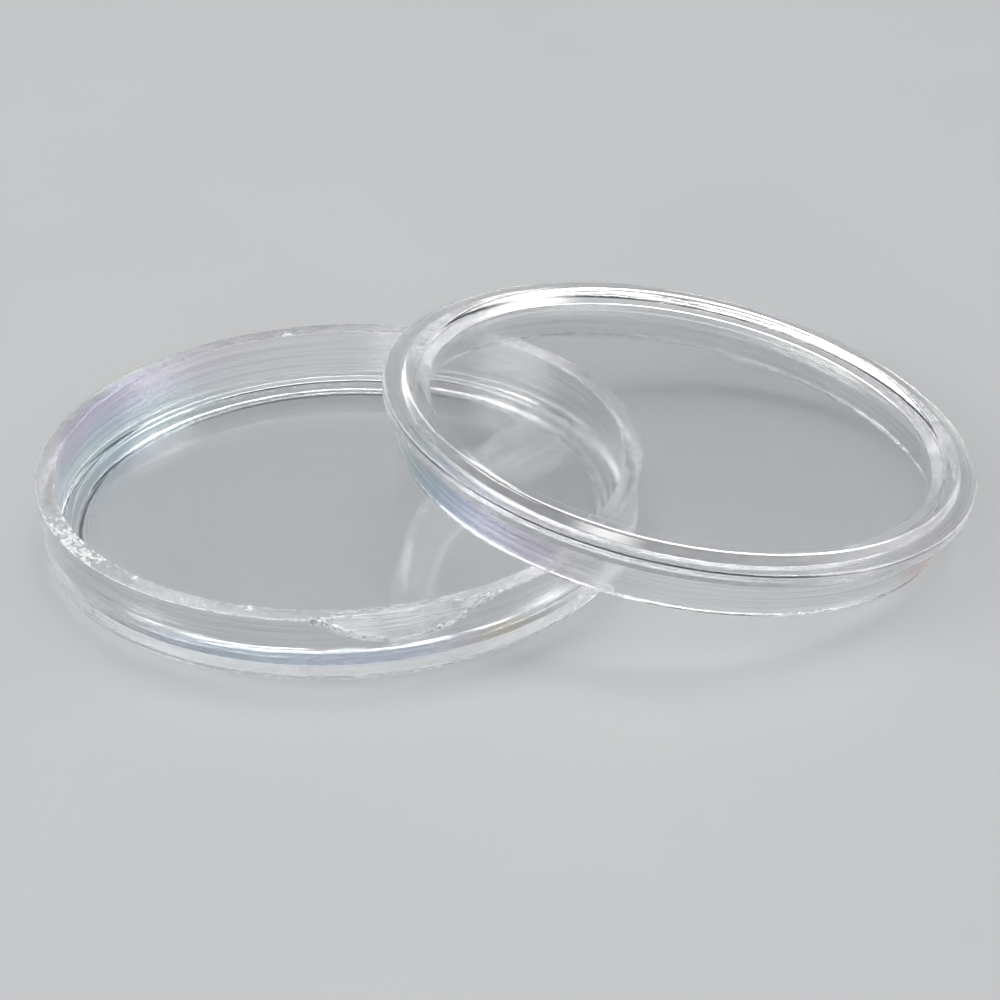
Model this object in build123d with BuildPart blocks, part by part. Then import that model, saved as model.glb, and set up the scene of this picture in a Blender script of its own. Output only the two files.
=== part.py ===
from build123d import *
from math import cos, radians, sin, sqrt
import os

# Clear two-piece coin capsule, opened: the base lies on the table, open side up, and the lid leans on its
# rim. Both halves are turned shapes: each is one closed profile revolved about its own axis. The base also
# has a thumb notch cut into its wall. Millimetres, +Z up. The origin is the centre of the base's standing
# ring, on the table, and the lid lies towards +X.

os.makedirs("parts", exist_ok=True)

# Driving dimensions.
outer_radius = 23.0        # both halves, where they meet when closed
rim_height = 6.0           # table to the base's rim
crest_height = 0.8         # standing ring, from the lip to its crest, the same on both halves
window_recess = 1.05       # from the ring's crest in to the window's outer face
window_thickness = 0.9
wall_draft = 0.3           # how far the base's wall leans out between its lip and its rim
rim_width = 1.4            # the base's wall, across its rim

# Coin seat in the base.
seat_radius = 20.6
ledge_height = 2.35        # table to the ledge around the seat

# Lid: a flange that closes on the base's rim, and a plug wall that goes down inside it.
flange_thickness = 0.95
plug_length = 3.4
recess_radius = 20.55      # inside of the plug wall, around the coin's upper half
fit_gap = 0.05             # plug to bore, on the radius, all the way down
taper = 0.1                # how much narrower the bore and the plug are at the bottom

# Section of the standing ring, as radii.
ring_outer_foot = 21.65
ring_outer_crest = 21.4
ring_inner_crest = 20.3
ring_inner_foot = 19.5

# Thumb notch: a flat that slopes down and out through the base's wall.
notch_angle = -80.0        # direction of its middle, from +X
notch_rim_left = 0.55      # width of the rim that is left at its middle
notch_depth = 2.45
notch_reach = 10.0         # half the length of the cut, which is more than the wall needs

# Edge radii.
ring_round = 0.25
flange_round = 0.25
lip_round = 0.2
edge_round = 0.1

# How the lid leans: its far edge on the table, its near side on the base's rim.
lean = radians(10.5)
rest_gap = 0.06            # left free at each place where the lid rests

# Worked out for the base, as heights above the table and radii.
foot_radius = outer_radius - wall_draft
seat_level = window_recess + window_thickness
bore_radius = outer_radius - rim_width
bore_foot_radius = bore_radius - taper

# Worked out for the lid, as heights above its own lip and radii.
lid_window_top = crest_height - window_recess
lid_window_under = lid_window_top - window_thickness
plug_end = -flange_thickness - plug_length
plug_root_radius = bore_radius - fit_gap
plug_end_radius = plug_root_radius - taper


def near(profile, *points):
    """The profile's corners nearest to these points."""
    return [profile.vertices().sort_by_distance((x, y, 0))[0] for x, y in points]


# Base: window, standing ring below it, outer wall, and the ledge that the coin's seat is sunk into.
with BuildPart() as base_shell:
    with BuildSketch(Plane.XZ) as base_profile:
        with BuildLine():
            Polyline(
                (0, window_recess),
                (ring_inner_foot, window_recess),
                (ring_inner_crest, 0),
                (ring_outer_crest, 0),
                (ring_outer_foot, crest_height),
                (foot_radius, crest_height),
                (outer_radius, rim_height),
                (bore_radius, rim_height),
                (bore_foot_radius, ledge_height),
                (seat_radius, ledge_height),
                (seat_radius, seat_level),
                (0, seat_level),
                close=True,
            )
        make_face()
        fillet(near(base_profile, (ring_inner_crest, 0), (ring_outer_crest, 0)), ring_round)
        fillet(near(base_profile, (foot_radius, crest_height)), lip_round)
        fillet(near(base_profile, (outer_radius, rim_height), (bore_radius, rim_height)), edge_round)
        fillet(near(base_profile, (bore_foot_radius, ledge_height)), edge_round)
    revolve(axis=Axis.Z)

    # The notch's section, on the upright plane through the notch's middle and the base's axis.
    notch_plane = Plane.XZ.rotated((0, 0, notch_angle))
    notch_top_radius = bore_radius + notch_rim_left
    notch_slope = (outer_radius - notch_top_radius) / notch_depth
    notch_overrun = 1.0
    with BuildSketch(notch_plane):
        with BuildLine():
            Polyline(
                (notch_top_radius - notch_slope * notch_overrun, rim_height + notch_overrun),
                (outer_radius + notch_slope * notch_overrun, rim_height - notch_depth - notch_overrun),
                (outer_radius + notch_slope * notch_overrun, rim_height + notch_overrun),
                close=True,
            )
        make_face()
    extrude(amount=notch_reach, both=True, mode=Mode.SUBTRACT)

# Place of the leaning lid. Its plug's lowest point is on the table, and the end of the plug crosses the
# rim's outer edge, one crossing each side of the X axis. cross_turn is measured from the lowest point.
cross_cosine = 1 - rim_height / (plug_end_radius * sin(lean))
cross_y = plug_end_radius * sqrt(1 - cross_cosine**2)
cross_x = sqrt(outer_radius**2 - cross_y**2)
plug_end_x = cross_x - plug_end_radius * cross_cosine * cos(lean)
plug_end_z = plug_end_radius * sin(lean) + rest_gap
lid_up = Vector(sin(lean), 0, cos(lean))
lid_across = Vector(cos(lean), 0, -sin(lean))
lid_centre = Vector(plug_end_x, 0, plug_end_z) - lid_up * plug_end
lid_plane = Plane(origin=lid_centre, x_dir=lid_across, z_dir=lid_across.cross(lid_up))

# Lid: window, standing ring above it, flange, and the plug wall below.
with BuildPart() as lid_shell:
    with BuildSketch(lid_plane) as lid_profile:
        with BuildLine():
            Polyline(
                (0, lid_window_top),
                (ring_inner_foot, lid_window_top),
                (ring_inner_crest, crest_height),
                (ring_outer_crest, crest_height),
                (ring_outer_foot, 0),
                (outer_radius, 0),
                (outer_radius, -flange_thickness),
                (plug_root_radius, -flange_thickness),
                (plug_end_radius, plug_end),
                (recess_radius, plug_end),
                (recess_radius, lid_window_under),
                (0, lid_window_under),
                close=True,
            )
        make_face()
        crest_corners = near(lid_profile, (ring_inner_crest, crest_height), (ring_outer_crest, crest_height))
        fillet(crest_corners, ring_round)
        fillet(near(lid_profile, (outer_radius, 0)), flange_round)
        fillet(near(lid_profile, (outer_radius, -flange_thickness)), edge_round)
        fillet(near(lid_profile, (plug_end_radius, plug_end), (recess_radius, plug_end)), edge_round)
    revolve(axis=Axis(lid_centre, lid_up))

base_shell.part.label = "base_shell"
lid_shell.part.label = "lid_shell"
export_step(base_shell.part, "parts/base_shell.step")
export_step(lid_shell.part, "parts/lid_shell.step")
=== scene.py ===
import math

import bpy
import numpy as np
from mathutils import Matrix, Vector


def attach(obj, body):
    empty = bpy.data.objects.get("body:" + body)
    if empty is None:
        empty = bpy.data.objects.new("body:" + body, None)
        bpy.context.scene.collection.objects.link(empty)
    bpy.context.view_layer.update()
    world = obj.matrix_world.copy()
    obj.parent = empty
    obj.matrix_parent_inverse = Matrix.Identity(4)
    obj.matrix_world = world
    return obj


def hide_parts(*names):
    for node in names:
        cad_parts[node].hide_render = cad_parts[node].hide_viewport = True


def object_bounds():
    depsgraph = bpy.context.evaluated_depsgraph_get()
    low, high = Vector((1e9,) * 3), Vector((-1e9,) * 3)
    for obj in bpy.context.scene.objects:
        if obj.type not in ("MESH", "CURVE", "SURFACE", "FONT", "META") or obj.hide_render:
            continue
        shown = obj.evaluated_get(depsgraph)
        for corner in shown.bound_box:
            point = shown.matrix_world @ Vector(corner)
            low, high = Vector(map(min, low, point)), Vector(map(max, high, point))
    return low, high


# Looks of a clear two-piece coin capsule, opened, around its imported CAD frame.
# Each half is one closed mesh, turned from its section like the CAD solid it stands for, and finer: small
# moulding radii, the mould's parting line, the sawn rim, and the torn edges of the thumb notch. The base lies
# in the row frame. The lid is built about its own axis, which is read from its CAD node, and is then placed.
# Sections are in millimetres, as (radius, height), and angles in degrees from +X. Blender gets metres.

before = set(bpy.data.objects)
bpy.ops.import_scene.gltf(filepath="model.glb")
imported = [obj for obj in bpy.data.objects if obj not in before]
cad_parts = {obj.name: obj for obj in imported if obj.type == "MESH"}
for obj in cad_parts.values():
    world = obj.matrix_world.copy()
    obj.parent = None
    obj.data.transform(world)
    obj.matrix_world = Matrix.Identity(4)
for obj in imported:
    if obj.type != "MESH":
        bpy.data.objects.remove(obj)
cad_low, cad_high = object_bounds()

MM = 0.001
STEPS = 780                  # points around each half
EASE = 0.05                  # a straight gets a point this close to each end, to keep its shading flat
ARC_STEP = math.radians(20)  # largest turn between two points of a fillet
TORN = 0.45                  # a face rougher than this is broken or sawn plastic, which scatters light white

# Sizes shared by both halves.
OUTER_RADIUS = 23.0
CREST_HEIGHT = 0.8           # standing ring, from the lip to its crest
RING_OUTER_FOOT = 21.65
RING_OUTER_CREST = 21.4
RING_INNER_CREST = 20.3
RING_INNER_FOOT = 19.5
RING_ROUND = 0.25
RING_FOOT_ROUND = 0.15       # where the ring runs into the window
HOLLOW_ROUND = 0.08          # small radius left by the mould in the inward corners
CORNER_ROUND = 0.06          # in the seat and at the plug's root
EDGE_ROUND = 0.1

# Base, as heights above the table.
WINDOW_UNDER = 1.05
WINDOW_TOP = 1.95
LEDGE_HEIGHT = 2.35
SEAT_RADIUS = 20.6
BORE_FOOT_RADIUS = 21.5
BORE_RADIUS = 21.6
RIM_HEIGHT = 6.0
WALL_FOOT_RADIUS = 22.7
WALL_FOOT_ROUND = 0.2
PARTING_HEIGHT = 2.1         # where the mould's halves met around the base's wall
PARTING_DEPTH = 0.035

# Thumb notch in the base's wall.
NOTCH_ANGLE = -80.0
NOTCH_TOP_RADIUS = 22.15
NOTCH_DEPTH = 2.45

# Lid, as heights above its lip.
LID_WINDOW_TOP = -0.25
LID_WINDOW_UNDER = -1.15
FLANGE_UNDER = -0.95
FLANGE_ROUND = 0.25
PLUG_END = -4.35
PLUG_ROOT_RADIUS = 21.55
PLUG_END_RADIUS = 21.45
RECESS_RADIUS = 20.55

# Places on the base's rim, as an angle and a half width around the circle. A nick also has a strength.
NOTCH_TIPS = ((NOTCH_ANGLE - 15.3, 2.0), (NOTCH_ANGLE + 16.5, 3.6))
PITTED = (-152, 24)
SCUFFED = ((-118, 30), (-30, 40))
NICKS = ((100, 2.0, 0.7), (-108, 1.2, 0.8), (-133, 1.2, 0.8))

# How far torn plastic reaches from the notch's edges, along the section.
RIDGE_REACH = 0.36           # from the lower edge
SEAM_REACH = 0.30            # from the upper edge
LUMP_REACH = 0.55            # at the notch's tips

# Places with more flash, round the end of the lid's plug.
FLASHED = ((-70, 14), (-110, 9), (15, 12), (150, 20))


# ---------------------------------------------------------------- sections

def straight(start, end, spacing):
    """Points between a straight's ends: one close to each end, and the rest no further apart than spacing."""
    length = np.linalg.norm(end - start)
    inset = min(EASE, length / 4)
    count = max(math.ceil((length - 2 * inset) / spacing), 1)
    return [start + (end - start) * d / length for d in np.linspace(inset, length - inset, count + 1)]


def fillet(before, corner, after, radius):
    """Points of an arc that rounds a corner, from one tangent point to the other."""
    into = (before - corner) / np.linalg.norm(before - corner)
    onward = (after - corner) / np.linalg.norm(after - corner)
    half = math.acos(np.clip(into @ onward, -1, 1)) / 2
    middle = (into + onward) / np.linalg.norm(into + onward)
    centre = corner + middle * radius / math.sin(half)
    start = corner + into * radius / math.tan(half) - centre
    turn = math.pi - 2 * half
    if into[0] * onward[1] - into[1] * onward[0] > 0:
        turn = -turn
    count = max(3, math.ceil(abs(turn) / ARC_STEP))
    points = []
    for a in np.linspace(0, turn, count + 1):
        rotation = np.array(((math.cos(a), -math.sin(a)), (math.sin(a), math.cos(a))))
        points.append(centre + rotation @ start)
    return points


def rounded(corners):
    """A section line through (radius, height, fillet, spacing) corners.

    A corner's spacing is for the straight after it.
    """
    places = [np.array(c[:2], float) for c in corners]
    line = [places[0]]
    for i in range(1, len(corners)):
        if i < len(corners) - 1:
            arrival = fillet(places[i - 1], places[i], places[i + 1], corners[i][2])
        else:
            arrival = [places[i]]
        line += straight(line[-1], arrival[0], corners[i - 1][3]) + arrival
    return np.array(line)


# ---------------------------------------------------------------- relief

ANGLES = np.arange(STEPS) * 360 / STEPS


def smoothstep(x):
    x = np.clip(x, 0, 1)
    return x * x * (3 - 2 * x)


def hump(middle, half_width):
    """Around the circle: 1 at an angle, falling smoothly to 0 at half_width degrees to each side."""
    away = np.abs((ANGLES - middle + 180) % 360 - 180)
    return smoothstep(1 - away / half_width)


def band(values, low, high, soft):
    """1 between low and high, falling to 0 over soft beyond them."""
    return smoothstep((values - low) / soft + 1) * smoothstep((high - values) / soft + 1)


def relief(seed, along, cell, stretch=1):
    """Random relief from -1 to 1. Its bumps are about cell mm wide along the section, and stretch times that
    around it."""
    around = max(int(2 * math.pi * OUTER_RADIUS / (cell * stretch)), 8)
    rows = int(along.max() / cell) + 3
    lattice = np.random.default_rng(seed).uniform(-1, 1, (rows, around))
    u = along / cell
    v = np.broadcast_to(np.arange(STEPS) * around / STEPS, along.shape)
    u0 = np.floor(u).astype(int)
    v0 = np.floor(v).astype(int)
    fu = smoothstep(u - u0)
    fv = smoothstep(v - v0)
    v1 = (v0 + 1) % around
    low = lattice[u0, v0] * (1 - fv) + lattice[u0, v1] * fv
    high = lattice[u0 + 1, v0] * (1 - fv) + lattice[u0 + 1, v1] * fv
    return low * (1 - fu) + high * fu


def distance_along(radius, height):
    """Each grid point's distance along its section line."""
    steps = np.hypot(np.diff(radius, axis=0), np.diff(height, axis=0))
    return np.vstack([np.zeros(STEPS), np.cumsum(steps, axis=0)])


# ---------------------------------------------------------------- turned meshes

def turned_mesh(name, place, radius, height, masks):
    """A closed mesh from grids of radius and height, rows along the section by steps around the axis.

    The section runs from the axis out along the underside and back to the axis, so its first and last rows
    are single points. place takes the half's own frame to the row frame. For the material, each point keeps
    where it is in its own frame, and its masks, which are grids from 0 to 1.
    """
    turn = np.radians(ANGLES)
    r = radius[1:-1]
    ring = np.stack([r * np.cos(turn), r * np.sin(turn), height[1:-1]], axis=-1).reshape(-1, 3)
    first = (0, 0, height[0, 0])
    last = (0, 0, height[-1, 0])
    own = np.vstack([first, ring, last]) * MM
    matrix = np.array(place)
    points = own @ matrix[:3, :3].T + matrix[:3, 3]
    rows = len(r)
    step = np.arange(STEPS)
    after = (step + 1) % STEPS
    faces = [(0, int(b) + 1, int(a) + 1) for a, b in zip(step, after)]
    for k in range(rows - 1):
        here = 1 + k * STEPS
        above = here + STEPS
        faces += [(here + a, here + b, above + b, above + a) for a, b in zip(step.tolist(), after.tolist())]
    top = 1 + (rows - 1) * STEPS
    tip = len(points) - 1
    faces += [(top + a, top + b, tip) for a, b in zip(step.tolist(), after.tolist())]
    mesh = bpy.data.meshes.new(name)
    mesh.from_pydata(points.tolist(), [], faces)
    mesh.shade_smooth()
    mesh.attributes.new("own", "FLOAT_VECTOR", "POINT").data.foreach_set("vector", own.ravel())
    for mask_name, grid in masks.items():
        values = np.concatenate([grid[0, :1], grid[1:-1].ravel(), grid[-1, :1]])
        attribute = mesh.attributes.new(mask_name, "FLOAT", "POINT")
        attribute.data.foreach_set("value", np.clip(values, 0, 1).astype(np.float32))

    # Torn faces take the second material, and are faceted.
    rough = np.zeros(len(points), np.float32)
    mesh.attributes["rough"].data.foreach_get("value", rough)
    torn_faces = np.array([rough[list(face)].mean() > TORN for face in faces])
    mesh.polygons.foreach_set("material_index", torn_faces.astype(np.int32))
    mesh.polygons.foreach_set("use_smooth", ~torn_faces)
    mesh.update()
    piece = bpy.data.objects.new(name, mesh)
    bpy.context.scene.collection.objects.link(piece)
    return piece


def grid_of(line):
    """A section line as grids of radius and height, the same all the way around."""
    return [np.repeat(line[:, i:i + 1], STEPS, axis=1) for i in (0, 1)]


# ---------------------------------------------------------------- base

def base_grids():
    """The base's section at every step around: the same all round, except where the notch's flat cuts it.

    Also gives, for each point, whether it is on the notch's flat, how deep the notch is at its step, and how
    far along the section it is from the flat's lower and upper edges.
    """
    wall_lean = (OUTER_RADIUS - WALL_FOOT_RADIUS) / (RIM_HEIGHT - CREST_HEIGHT)
    wall_start = 1.2
    rim_end = BORE_RADIUS + 0.3

    def wall_radius(height):
        return WALL_FOOT_RADIUS + wall_lean * (height - CREST_HEIGHT)

    under = rounded([
        (0, WINDOW_UNDER, 0, 5),
        (RING_INNER_FOOT, WINDOW_UNDER, RING_FOOT_ROUND, 0.7),
        (RING_INNER_CREST, 0, RING_ROUND, 0.7),
        (RING_OUTER_CREST, 0, RING_ROUND, 0.7),
        (RING_OUTER_FOOT, CREST_HEIGHT, HOLLOW_ROUND, 0.5),
        (WALL_FOOT_RADIUS, CREST_HEIGHT, WALL_FOOT_ROUND, 0.2),
        (wall_radius(wall_start), wall_start, 0, 0),
    ])
    inside = rounded([
        (rim_end, RIM_HEIGHT, 0, 0.2),
        (BORE_RADIUS, RIM_HEIGHT, EDGE_ROUND, 0.6),
        (BORE_FOOT_RADIUS, LEDGE_HEIGHT, EDGE_ROUND, 0.4),
        (SEAT_RADIUS, LEDGE_HEIGHT, CORNER_ROUND, 0.3),
        (SEAT_RADIUS, WINDOW_TOP, CORNER_ROUND, 5),
        (0, WINDOW_TOP, 0, 0),
    ])

    # The notch's flat meets the wall's outer face at the edge's height, and the rim at the top radius.
    # Further round than reach, in radians, a low cosine keeps it outside the wall.
    reach = 0.6
    slope = (OUTER_RADIUS - NOTCH_TOP_RADIUS) / NOTCH_DEPTH
    away = np.radians((ANGLES - NOTCH_ANGLE + 180) % 360 - 180)
    cosine = np.where(np.abs(away) < reach, np.cos(away), 0.5)
    flat_base = NOTCH_TOP_RADIUS + slope * RIM_HEIGHT
    meeting = (flat_base - wall_radius(0) * cosine) / (slope + wall_lean * cosine)
    edge_height = np.minimum(meeting, RIM_HEIGHT - EDGE_ROUND)
    top_radius = np.minimum(NOTCH_TOP_RADIUS / cosine, OUTER_RADIUS - EDGE_ROUND)
    cut = smoothstep((RIM_HEIGHT - EDGE_ROUND - edge_height) / 0.3)

    def spread(shares, start, end):
        return start + (end - start) * np.array(shares)[:, None]

    # Wall: the same up to the parting line, and above it spread evenly up to the edge.
    low_wall = np.array([1.4, 1.6, 1.8, 1.95, 2.03, 2.08, 2.12, 2.17, 2.25])
    low_height = np.repeat(low_wall[:, None], STEPS, axis=1)
    wall_shares = [0.08, 0.2, 0.35, 0.5, 0.65, 0.8, 0.9, 0.96, 0.985]
    wall_height = np.vstack([low_height, spread(wall_shares, low_wall[-1], edge_height)])

    # Corner: a round edge, or the notch's flat.
    edge_radius = wall_radius(edge_height)
    bend_radius = cut * (edge_radius + top_radius) / 2 + (1 - cut) * OUTER_RADIUS
    bend_height = cut * (edge_height + RIM_HEIGHT) / 2 + (1 - cut) * RIM_HEIGHT
    share = np.array([0, 0.025, 0.06, 0.12, 0.22, 0.36, 0.5, 0.64, 0.78, 0.88, 0.94, 0.975, 1])[:, None]

    def bent(start, bend, end):
        return (1 - share)**2 * start + 2 * share * (1 - share) * bend + share**2 * end

    rim_shares = [0.07, 0.2, 0.33, 0.46, 0.6, 0.73, 0.86, 0.96]
    rim_radius = spread(rim_shares, top_radius, rim_end)
    under_radius, under_height = grid_of(under)
    inside_radius, inside_height = grid_of(inside)
    radius = np.vstack([
        under_radius,
        wall_radius(wall_height),
        bent(edge_radius, bend_radius, top_radius),
        rim_radius,
        inside_radius,
    ])
    height = np.vstack([
        under_height,
        wall_height,
        bent(edge_height, bend_height, RIM_HEIGHT),
        np.full_like(rim_radius, RIM_HEIGHT),
        inside_height,
    ])

    first = len(under) + len(wall_height)
    last = first + len(share) - 1
    flat = np.zeros_like(radius)
    flat[first:last + 1] = cut
    along = distance_along(radius, height)
    return radius, height, flat, cut, np.abs(along - along[first]), np.abs(along - along[last])


def build_base():
    radius, height, flat, cut, low_edge, top_edge = base_grids()
    along = distance_along(radius, height)
    coarse = relief(1, along, 0.45)
    fine = relief(2, along, 0.16)
    streak = relief(3, along, 0.3, 40)
    chatter = relief(4, along, 0.6, 0.5)

    def mixed(mean, coarse_share, fine_share):
        """A mean value, with shares of the coarse and the fine relief added."""
        return mean + coarse_share * coarse + fine_share * fine

    off_notch = flat < 0.01
    outside = radius > WALL_FOOT_RADIUS - 0.25
    wall = outside & (height > 1.0) & (height < RIM_HEIGHT - 0.15) & off_notch
    on_rim = band(height, RIM_HEIGHT - 0.02, RIM_HEIGHT + 1, 0.02) * (radius > BORE_RADIUS + 0.05)

    # Torn ridge along the notch's lower edge, a slight one along its upper edge, and the lumps where its tips
    # run out into the rim.
    tips = sum(hump(*tip) for tip in NOTCH_TIPS)
    ridge = smoothstep(1 - low_edge / RIDGE_REACH) * cut * outside * (1 - 0.7 * hump(NOTCH_ANGLE, 9))
    seam = smoothstep(1 - top_edge / SEAM_REACH) * cut * outside
    near_edge = smoothstep(1 - np.minimum(low_edge, top_edge) / LUMP_REACH)
    lumps = near_edge * tips * (0.7 + 0.6 * fine) * (radius > BORE_RADIUS + 0.1)
    lift = ridge * mixed(0.06, 0.12, 0.12) + seam * mixed(0.02, 0.03, 0.04)
    lift += lumps * mixed(0.08, 0.12, 0.10)
    pits = ridge * (0.07 * np.abs(coarse) + 0.07 * np.abs(fine))

    # The saw left the rim's face pitted at the left, nicks along its inner edge, and both its edges chipped.
    nicks = sum(strength * hump(angle, width) for angle, width, strength in NICKS)
    burrs = nicks * (radius < BORE_RADIUS + 0.45)
    pitted = hump(*PITTED)
    scuffed = np.maximum.reduce([hump(*place) for place in SCUFFED])
    sawn = on_rim * (0.16 + 0.30 * np.maximum(pitted, cut) + 0.14 * scuffed)
    lift += on_rim * burrs * (0.04 + 0.10 * np.abs(fine))
    sink = on_rim * (0.010 + 0.010 * coarse + (0.004 + 0.026 * pitted) * (1 + fine))
    rim_edges = band(height, RIM_HEIGHT - 0.085, RIM_HEIGHT - 0.015, 0.01) * off_notch
    chipped = rim_edges * (radius > BORE_RADIUS - 0.02)

    # The wall: a frosted band at its foot, the parting line's groove, and turned streaks above it.
    foot = band(height, 1.15, PARTING_HEIGHT, 0.12) * outside * off_notch
    groove = band(height, PARTING_HEIGHT - 0.03, PARTING_HEIGHT + 0.03, 0.05) * wall
    inward = (
        foot * (0.024 + 0.010 * fine + 0.014 * chatter)
        + pits
        + groove * PARTING_DEPTH
        + wall * (0.006 + 0.006 * streak)
        + flat * (0.012 + 0.012 * coarse)
    )
    radius = radius - inward + np.maximum(lift, -0.05) * outside * (height < RIM_HEIGHT - 0.01) * 0.6
    height = height - sink + lift * (height > 2.3)
    radius = np.minimum(radius, OUTER_RADIUS)

    rough = np.maximum.reduce([
        np.minimum(sawn * mixed(0.9, 0.2, 0.5), 0.9 * TORN),
        on_rim * pitted * (fine > 0.25) * 0.9,
        chipped * 0.6 * (1 + 0.4 * coarse),
        ridge * mixed(1.2, 0.5, 0.7),
        seam * (0.8 + 0.5 * fine),
        lumps * (1.5 + 0.6 * fine),
        foot * (0.36 + 0.04 * chatter + (0.10 + 0.12 * hump(-48, 26)) * fine),
        flat * 0.08,
        on_rim * burrs * (1.0 + fine),
    ])
    inner_wall = (radius < BORE_RADIUS + 0.02) & (height > LEDGE_HEIGHT + 0.1)
    # Turned marks: bumps, and painted shade along them; the pitted rim's pits get the same painted shade.
    marks = wall * (0.35 + 0.65 * hump(-150, 60)) + 0.5 * inner_wall
    marks = marks + on_rim * pitted * smoothstep(0.5 + 2 * fine)

    # Painted strain sheen, the colours that strain shows in reflected light: a patch inside the wall and
    # round the window at the left, and a strip along the front of the foot, which is blue and turns orange at
    # its right end.
    round_seat = band(radius, SEAT_RADIUS - 0.8, BORE_RADIUS + 0.05, 1.2) * (height > WINDOW_TOP - 0.05)
    left = round_seat * hump(150, 52)
    strip = np.maximum(smoothstep(1.6 * hump(-100, 44)), hump(-61, 9))
    front = band(height, PARTING_HEIGHT + 0.1, 3.0, 0.4) * outside * strip
    left_tone = 0.1 + 0.5 * smoothstep((height - LEDGE_HEIGHT) / 3)
    front_tone = 0.28 + 0.62 * smoothstep((ANGLES - 291) / 5)
    return turned_mesh("base_clear", Matrix(), radius, height, {
        "rough": rough,
        "marks": marks,
        "strain": np.maximum(left, front),
        "tone": np.where(outside, front_tone, left_tone),
    })


# ---------------------------------------------------------------- lid

def build_lid():
    line = rounded([
        (0, LID_WINDOW_UNDER, 0, 5),
        (RECESS_RADIUS, LID_WINDOW_UNDER, HOLLOW_ROUND, 0.5),
        (RECESS_RADIUS, PLUG_END, EDGE_ROUND, 0.3),
        (PLUG_END_RADIUS, PLUG_END, EDGE_ROUND, 0.3),
        (PLUG_ROOT_RADIUS, FLANGE_UNDER, CORNER_ROUND, 0.5),
        (OUTER_RADIUS, FLANGE_UNDER, EDGE_ROUND, 0.2),
        (OUTER_RADIUS, 0, FLANGE_ROUND, 0.3),
        (RING_OUTER_FOOT, 0, HOLLOW_ROUND, 0.3),
        (RING_OUTER_CREST, CREST_HEIGHT, RING_ROUND, 0.3),
        (RING_INNER_CREST, CREST_HEIGHT, RING_ROUND, 0.4),
        (RING_INNER_FOOT, LID_WINDOW_TOP, RING_FOOT_ROUND, 5),
        (0, LID_WINDOW_TOP, 0, 0),
    ])
    radius, height = grid_of(line)
    along = distance_along(radius, height)
    coarse = relief(11, along, 0.5)
    fine = relief(12, along, 0.16)
    streak = relief(13, along, 0.25, 60)
    on_plug = radius > RECESS_RADIUS - 0.01
    plug = band(height, PLUG_END + 0.1, FLANGE_UNDER - 0.2, 0.1) * on_plug
    end = band(height, PLUG_END - 1, PLUG_END + 0.05, 0.12) * on_plug
    lip = band(height, -0.02, 0.02, 0.05) * (radius > RING_OUTER_FOOT)
    rim = band(height, FLANGE_UNDER, -FLANGE_ROUND, 0.1) * (radius > OUTER_RADIUS - 0.05)
    flash = end * (0.25 + sum(hump(*place) for place in FLASHED))
    side = np.where(radius > (RECESS_RADIUS + PLUG_END_RADIUS) / 2, 1.0, -1.0)
    inward = plug * (0.004 + 0.004 * streak) + flash * np.maximum(0, 0.01 + 0.03 * fine)
    height = height + flash * np.maximum(0, 0.012 + 0.03 * coarse) - lip * (0.004 + 0.006 * streak)
    radius = radius - side * inward - rim * (0.004 + 0.004 * streak)
    rough = np.maximum.reduce([flash * (0.4 + 0.5 * fine), lip * 0.3, rim * 0.15, plug * 0.05])
    # Turned marks on the plug, the flange's rim and the lip: bumps, and painted shade along them.
    marks = plug * (0.45 + 0.55 * hump(-140, 60)) + rim * 0.6 + lip * 0.8

    # Painted strain sheen, the colours that strain shows in reflected light: a patch on the plug's wall at
    # the left and a small one at the right.
    left = plug * hump(-148, 42)
    right = plug * hump(-32, 16)
    left_tone = 0.6 * smoothstep((ANGLES - 185) / 55)
    right_tone = 0.85 - 0.2 * smoothstep((height - PLUG_END) / 3)
    return turned_mesh("lid_clear", own_frame("lid_shell", CREST_HEIGHT * MM), radius, height, {
        "rough": rough,
        "marks": marks,
        "strain": np.maximum(left, right),
        "tone": np.where(right > 0, right_tone, left_tone),
    })


def own_frame(node, crest):
    """Where a turned node's own frame lies: its axis is square to its window, its origin on the lip plane."""
    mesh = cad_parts[node].data
    window = max(mesh.polygons, key=lambda face: face.area)
    up = window.normal.copy()
    if up.z < 0:
        up.negate()
    across = Vector((0, 1, 0)).cross(up).normalized()
    back = up.cross(across)
    points = [v.co for v in mesh.vertices]

    def extent(direction):
        reach = [p.dot(direction) for p in points]
        return min(reach), max(reach)

    centre = across * (sum(extent(across)) / 2) + back * (sum(extent(back)) / 2)
    origin = centre + up * (extent(up)[1] - crest)
    return Matrix.Translation(origin) @ Matrix((across, back, up)).transposed().to_4x4()


# ---------------------------------------------------------------- shader nodes

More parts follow.
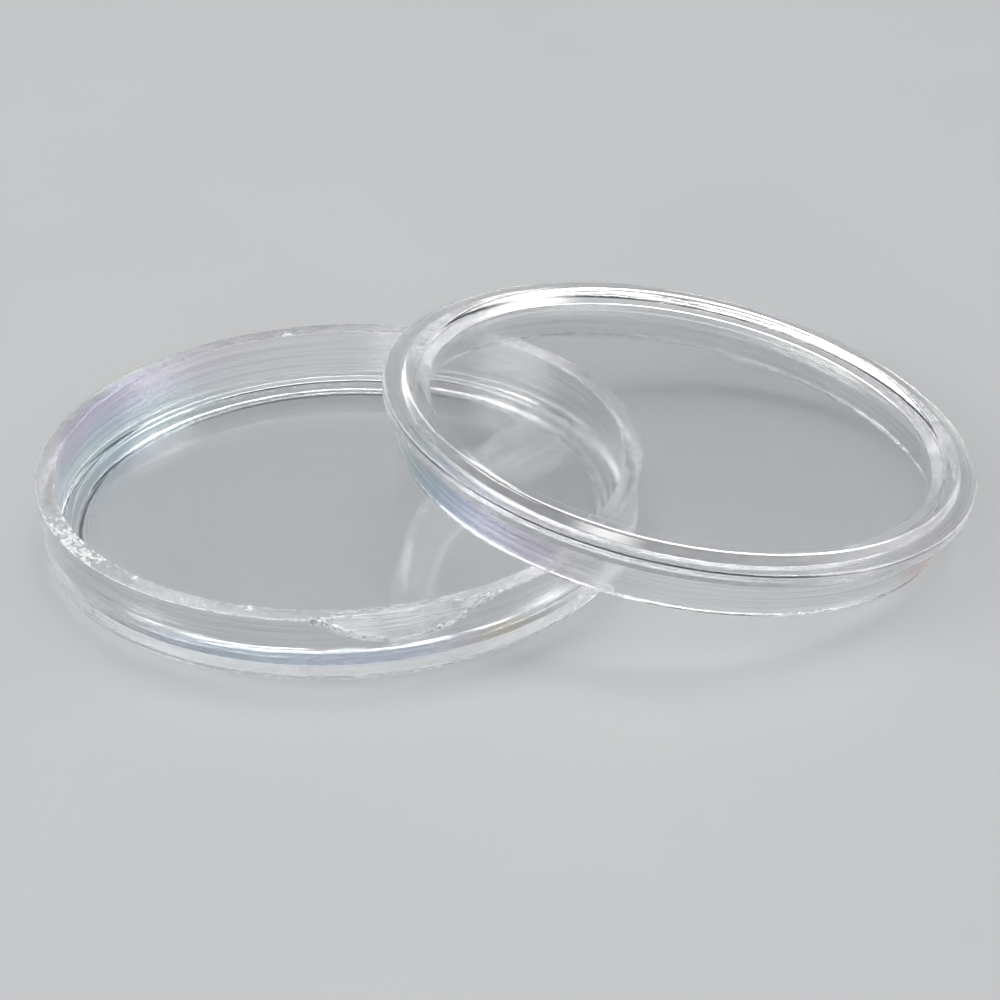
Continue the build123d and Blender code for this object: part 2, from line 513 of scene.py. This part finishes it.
class Nodes:
    """Adds shader nodes to a tree, each with its settings and what goes into its sockets.

    A socket is named by its label, with underscores for spaces, or by i and its number, as in i0.
    """

    def __init__(self, tree):
        self.tree = tree

    def add(self, kind, settings=None, **inputs):
        node = self.tree.nodes.new("ShaderNode" + kind)
        for key, value in (settings or {}).items():
            setattr(node, key, value)
        for key, value in inputs.items():
            socket = node.inputs[int(key[1:])] if key[1:].isdigit() else node.inputs[key.replace("_", " ")]
            if isinstance(value, bpy.types.NodeSocket):
                self.tree.links.new(value, socket)
            else:
                socket.default_value = value
        return node

    def math(self, operation, a, b=0.0):
        return self.add("Math", {"operation": operation}, i0=a, i1=b).outputs[0]

    def noise(self, place, scale, detail, roughness=0.5):
        return self.add("TexNoise", Vector=place, Scale=scale, Detail=detail, Roughness=roughness).outputs[0]

    def ramp(self, value, low, high, at_low, at_high):
        """A value from low to high as one from at_low to at_high, and no further."""
        return self.add("MapRange", i0=value, i1=low, i2=high, i3=at_low, i4=at_high).outputs[0]

    def mix(self, amount, first, second):
        return self.add("Mix", {"data_type": "RGBA"}, i0=amount, i6=first, i7=second).outputs[2]

    def colours(self, value, stops):
        """The colour that a value has between (position, colour) stops."""
        node = self.add("ValToRGB", i0=value)
        elements = node.color_ramp.elements
        elements[0].position = stops[0][0]
        elements[1].position = stops[-1][0]
        for position, _ in stops[1:-1]:
            elements.new(position)
        for element, (_, colour) in zip(elements, stops):
            element.color = (*colour, 1)
        return node.outputs[0]


def new_material(name):
    """An empty node material, and what adds nodes to it."""
    material = bpy.data.materials.new(name)
    material.use_nodes = True
    material.node_tree.nodes.clear()
    return material, Nodes(material.node_tree)


# ---------------------------------------------------------------- materials

PLASTIC_INDEX = 1.59
CLEAR = (0.987, 0.99, 0.993, 1)
LINE_PAINTED_SHADE = (0.50, 0.52, 0.55, 1)       # painted shade along the turned marks
GAP_PAINTED_SHADE = (0.10, 0.10, 0.11, 1)        # painted shade in the gaps between torn grains
FACING_SHADOW = (0.95, 0.955, 0.96, 1)   # what light keeps of its colour straight through a wall
GRAZING_SHADOW = (0.10, 0.10, 0.11, 1)   # and along it

# Noise cells per metre.
MARKS_ALONG = 45.0
MARKS_ACROSS = 6000.0
GRAINS = 9000.0
TORN_GRAINS = 3600.0
SCUFFS = 160.0
SWIRLS = 120.0

# Depths of the bumps, in metres.
MARK_DEPTH = 4e-5
GRAIN_DEPTH = 1e-4

# Colours of the painted sheen that strain in the plastic shows in reflected light, as the strain grows.
STRAIN_SHEEN_COLOURS = (
    (0.0, (0.30, 0.80, 0.72)),
    (0.3, (0.35, 0.55, 1.0)),
    (0.6, (0.65, 0.42, 0.95)),
    (0.85, (1.0, 0.60, 0.35)),
    (1.0, (1.0, 0.90, 0.50)),
)


def clear_plastic(name, clearness, frost, glow, painted_gap_shade):
    """Clear moulded polystyrene: turned tool marks, frosted where it was sawn or torn, and faint strain
    colours, painted as the sheen they show in reflected light. Painted shade darkens the tool marks and
    the gaps between torn grains.

    clearness is the share of light that isn't scattered white, frost how blurred the rough places are, and
    glow the share of light that comes scattered through the surface from behind it. crumbs is how much darker
    the painted shade makes the gaps between torn grains.
    """
    material, n = new_material(name)
    place = n.add("Attribute", {"attribute_name": "own"}).outputs["Vector"]
    x, y, z = n.add("SeparateXYZ", i0=place).outputs
    squares = n.math("ADD", n.math("MULTIPLY", x, x), n.math("MULTIPLY", y, y))
    r = n.math("SQRT", squares)
    turned = n.add(
        "CombineXYZ",
        i0=n.math("MULTIPLY", x, MARKS_ALONG),
        i1=n.math("MULTIPLY", y, MARKS_ALONG),
        i2=n.math("MULTIPLY", n.math("ADD", r, z), MARKS_ACROSS),
    )
    marks = n.noise(turned.outputs[0], 1.0, 3.0, 0.6)
    grains = n.noise(place, GRAINS, 3.0, 0.7)
    scuffs = n.noise(place, SCUFFS, 2.0)
    rough, strain, tone, marks_mask = [
        n.add("Attribute", {"attribute_name": mask}).outputs["Fac"]
        for mask in ("rough", "strain", "tone", "marks")
    ]

    # Surface: turned marks, grains where it is rough, and a haze of scuffs.
    turned_here = n.math("ADD", 0.06, marks_mask)
    marks_bump = n.add("Bump", Strength=turned_here, Distance=MARK_DEPTH, Height=marks)
    grain_bump = n.add(
        "Bump", Strength=rough, Distance=GRAIN_DEPTH, Height=grains, Normal=marks_bump.outputs[0],
    )
    speckle = n.math("MULTIPLY", rough, n.math("ADD", 0.25, grains))
    haze = n.math("MULTIPLY", n.math("MAXIMUM", n.math("SUBTRACT", scuffs, 0.5), 0.0), 0.12)
    roughness = n.math("ADD", 0.015, n.math("ADD", haze, n.math("MULTIPLY", speckle, frost)))

    # Colour: painted strain sheen, then painted shade along the turned marks, then painted shade in the gaps
    # between torn grains.
    wander = n.math("MULTIPLY", n.math("SUBTRACT", n.noise(place, SWIRLS, 2.0), 0.5), 0.5)
    sheen_hue = n.colours(n.math("ADD", tone, wander), STRAIN_SHEEN_COLOURS)
    streaks = n.ramp(marks, 0.35, 0.65, 0.35, 0.8)
    clear_with_sheen = n.mix(n.math("MULTIPLY", strain, streaks), CLEAR, sheen_hue)
    lines = n.ramp(marks, 0.46, 0.62, 0.0, 0.8)
    with_painted_lines = n.mix(n.math("MULTIPLY", lines, turned_here), clear_with_sheen, LINE_PAINTED_SHADE)
    gaps = n.ramp(n.noise(place, TORN_GRAINS, 2.0, 0.6), 0.38, 0.50, painted_gap_shade, 0.0)
    colour_with_painted_shade = n.mix(gaps, with_painted_lines, GAP_PAINTED_SHADE)

    plastic = n.add(
        "BsdfPrincipled",
        Base_Color=colour_with_painted_shade,
        Roughness=roughness,
        IOR=PLASTIC_INDEX,
        Normal=grain_bump.outputs[0],
        Transmission_Weight=clearness,
    )
    scattered = n.add("BsdfTranslucent", Color=colour_with_painted_shade, Normal=grain_bump.outputs[0])
    surface = n.add("MixShader", i0=glow, i1=plastic.outputs[0], i2=scattered.outputs[0])

    # Shadow rays pass straight through, and are darkest where they graze the surface.
    grazing = n.math("POWER", n.add("LayerWeight", Blend=0.5).outputs["Facing"], 4.0)
    through = n.add("BsdfTransparent", Color=n.mix(grazing, FACING_SHADOW, GRAZING_SHADOW))
    shadow = n.add("LightPath").outputs["Is Shadow Ray"]
    both = n.add("MixShader", i0=shadow, i1=surface.outputs[0], i2=through.outputs[0])
    n.add("OutputMaterial", Surface=both.outputs[0])
    return material


def floor_material():
    material, n = new_material("pale_floor")
    place = n.add("TexCoord").outputs["Object"]
    colour = n.mix(n.noise(place, 30.0, 4.0), (0.365, 0.37, 0.375, 1), (0.395, 0.40, 0.405, 1))
    paper = n.add("BsdfPrincipled", Base_Color=colour, Roughness=0.55)
    n.add("OutputMaterial", Surface=paper.outputs[0])
    return material


# ---------------------------------------------------------------- pieces on their bodies

moulded = clear_plastic("clear_moulded", clearness=1.0, frost=0.5, glow=0.0, painted_gap_shade=0.0)
# Torn plastic: painted shade darkens the gaps between its grains.
torn = clear_plastic("clear_torn", clearness=0.25, frost=0.35, glow=0.3, painted_gap_shade=0.6)
base = build_base()
lid = build_lid()
for piece, body, node in ((base, "base", "base_shell"), (lid, "lid", "lid_shell")):
    piece.data.materials.append(moulded)
    piece.data.materials.append(torn)
    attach(piece, body)
    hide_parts(node)


# ---------------------------------------------------------------- floor, light and camera

# Where light comes from: name, azimuth and elevation, width and depth in metres, power in watts.
LIGHTS = (
    ("key", -80, 30, 0.70, 0.50, 5.2),
    ("fill", 80, 25, 0.66, 0.46, 4.4),
    ("top", 172, 64, 1.30, 0.44, 6.6),
    ("front", -28, 12, 0.50, 0.30, 1.6),
)
LIGHT_DISTANCE = 0.80
LIGHT_PEAK = 16**2           # brings a light's middle to 1
LIGHT_EVEN = 3.516           # and then its mean

# The camera looks at the object from the front, a little from the left, and down.
CAMERA_AZIMUTH = -3.66
CAMERA_ELEVATION = 30.04
CAMERA_ROLL = -0.92
CAMERA_DISTANCE = 220.9 * MM
CAMERA_AIM = Vector((-0.68, 0, -4.79)) * MM
CAMERA_LENS = 102.9

HORIZON = (0.32, 0.33, 0.34)
SKY = (0.07, 0.073, 0.077)
BOUNCES = 160                # fewer leave black bands in the rings, where light runs round inside the plastic


def build_floor():
    """A wide disc just under the object, so that the standing ring doesn't share its plane."""
    gap = 0.02 * MM
    floor_radius = 2.5
    ring = np.radians(np.arange(0, 360, 5))
    points = [(floor_radius * math.cos(a), floor_radius * math.sin(a), cad_low.z - gap) for a in ring]
    mesh = bpy.data.meshes.new("floor")
    mesh.from_pydata(points, [], [tuple(range(len(points)))])
    mesh.materials.append(floor_material())
    floor = bpy.data.objects.new("floor", mesh)
    bpy.context.scene.collection.objects.link(floor)


def towards(azimuth, elevation):
    """A direction from the object, with its azimuth measured from the front to the right."""
    a = math.radians(azimuth)
    e = math.radians(elevation)
    return Vector((math.sin(a) * math.cos(e), -math.cos(a) * math.cos(e), math.sin(e)))


def aimed(obj, position, target):
    """Puts a light or camera at a position, looking at a target."""
    direction = Vector(target) - Vector(position)
    obj.location = position
    obj.rotation_euler = direction.to_track_quat("-Z", "Y").to_euler()
    bpy.context.scene.collection.objects.link(obj)


def add_light(name, azimuth, elevation, width, depth, power):
    """An area light that is brightest in its middle and has soft edges.

    A path that has left a diffuse surface finds it dark, so that the plastic throws no bright specks.
    """
    data = bpy.data.lights.new(name, "AREA")
    data.shape = "RECTANGLE"
    data.size = width
    data.size_y = depth
    data.energy = power
    data.use_nodes = True
    n = Nodes(data.node_tree)

    # Parametric coordinates run from 0 to 1 across the light.
    across = n.add("SeparateXYZ", i0=n.add("NewGeometry").outputs["Parametric"]).outputs[:2]
    humps = [n.math("MULTIPLY", side, n.math("SUBTRACT", 1.0, side)) for side in across]
    soft = n.math("POWER", n.math("MULTIPLY", *humps), 2.0)
    even = n.math("MULTIPLY", soft, LIGHT_PEAK * LIGHT_EVEN)
    direct = n.math("LESS_THAN", n.add("LightPath").outputs["Diffuse Depth"], 0.5)
    strength = n.math("MULTIPLY", even, direct)
    n.tree.links.new(strength, n.tree.nodes["Emission"].inputs["Strength"])
    aimed(bpy.data.objects.new(name, data), middle + towards(azimuth, elevation) * LIGHT_DISTANCE, middle)


def build_camera():
    aim = middle + CAMERA_AIM
    data = bpy.data.cameras.new("camera")
    data.lens = CAMERA_LENS
    data.sensor_width = 36
    data.clip_start = 0.01
    camera = bpy.data.objects.new("camera", data)
    aimed(camera, aim + towards(CAMERA_AZIMUTH, CAMERA_ELEVATION) * CAMERA_DISTANCE, aim)
    roll = Matrix.Rotation(math.radians(CAMERA_ROLL), 3, "Z")
    camera.rotation_euler = (camera.rotation_euler.to_matrix() @ roll).to_euler()
    bpy.context.scene.camera = camera


def build_world():
    """A plain studio round about, palest at the horizon."""
    world = bpy.data.worlds.new("studio")
    world.use_nodes = True
    n = Nodes(world.node_tree)
    height = n.add("SeparateXYZ", i0=n.add("TexCoord").outputs["Generated"]).outputs[2]
    colour = n.colours(height, ((0.0, HORIZON), (0.35, SKY)))
    n.tree.links.new(colour, n.tree.nodes["Background"].inputs["Color"])
    world.cycles.sampling_method = "NONE"
    bpy.context.scene.world = world


middle = (cad_low + cad_high) / 2
build_floor()
build_camera()
for light in LIGHTS:
    add_light(*light)
build_world()
bpy.context.scene.view_settings.view_transform = "Standard"
light_paths = bpy.context.scene.cycles
light_paths.max_bounces = BOUNCES
light_paths.glossy_bounces = BOUNCES
light_paths.transmission_bounces = BOUNCES
light_paths.transparent_max_bounces = 64
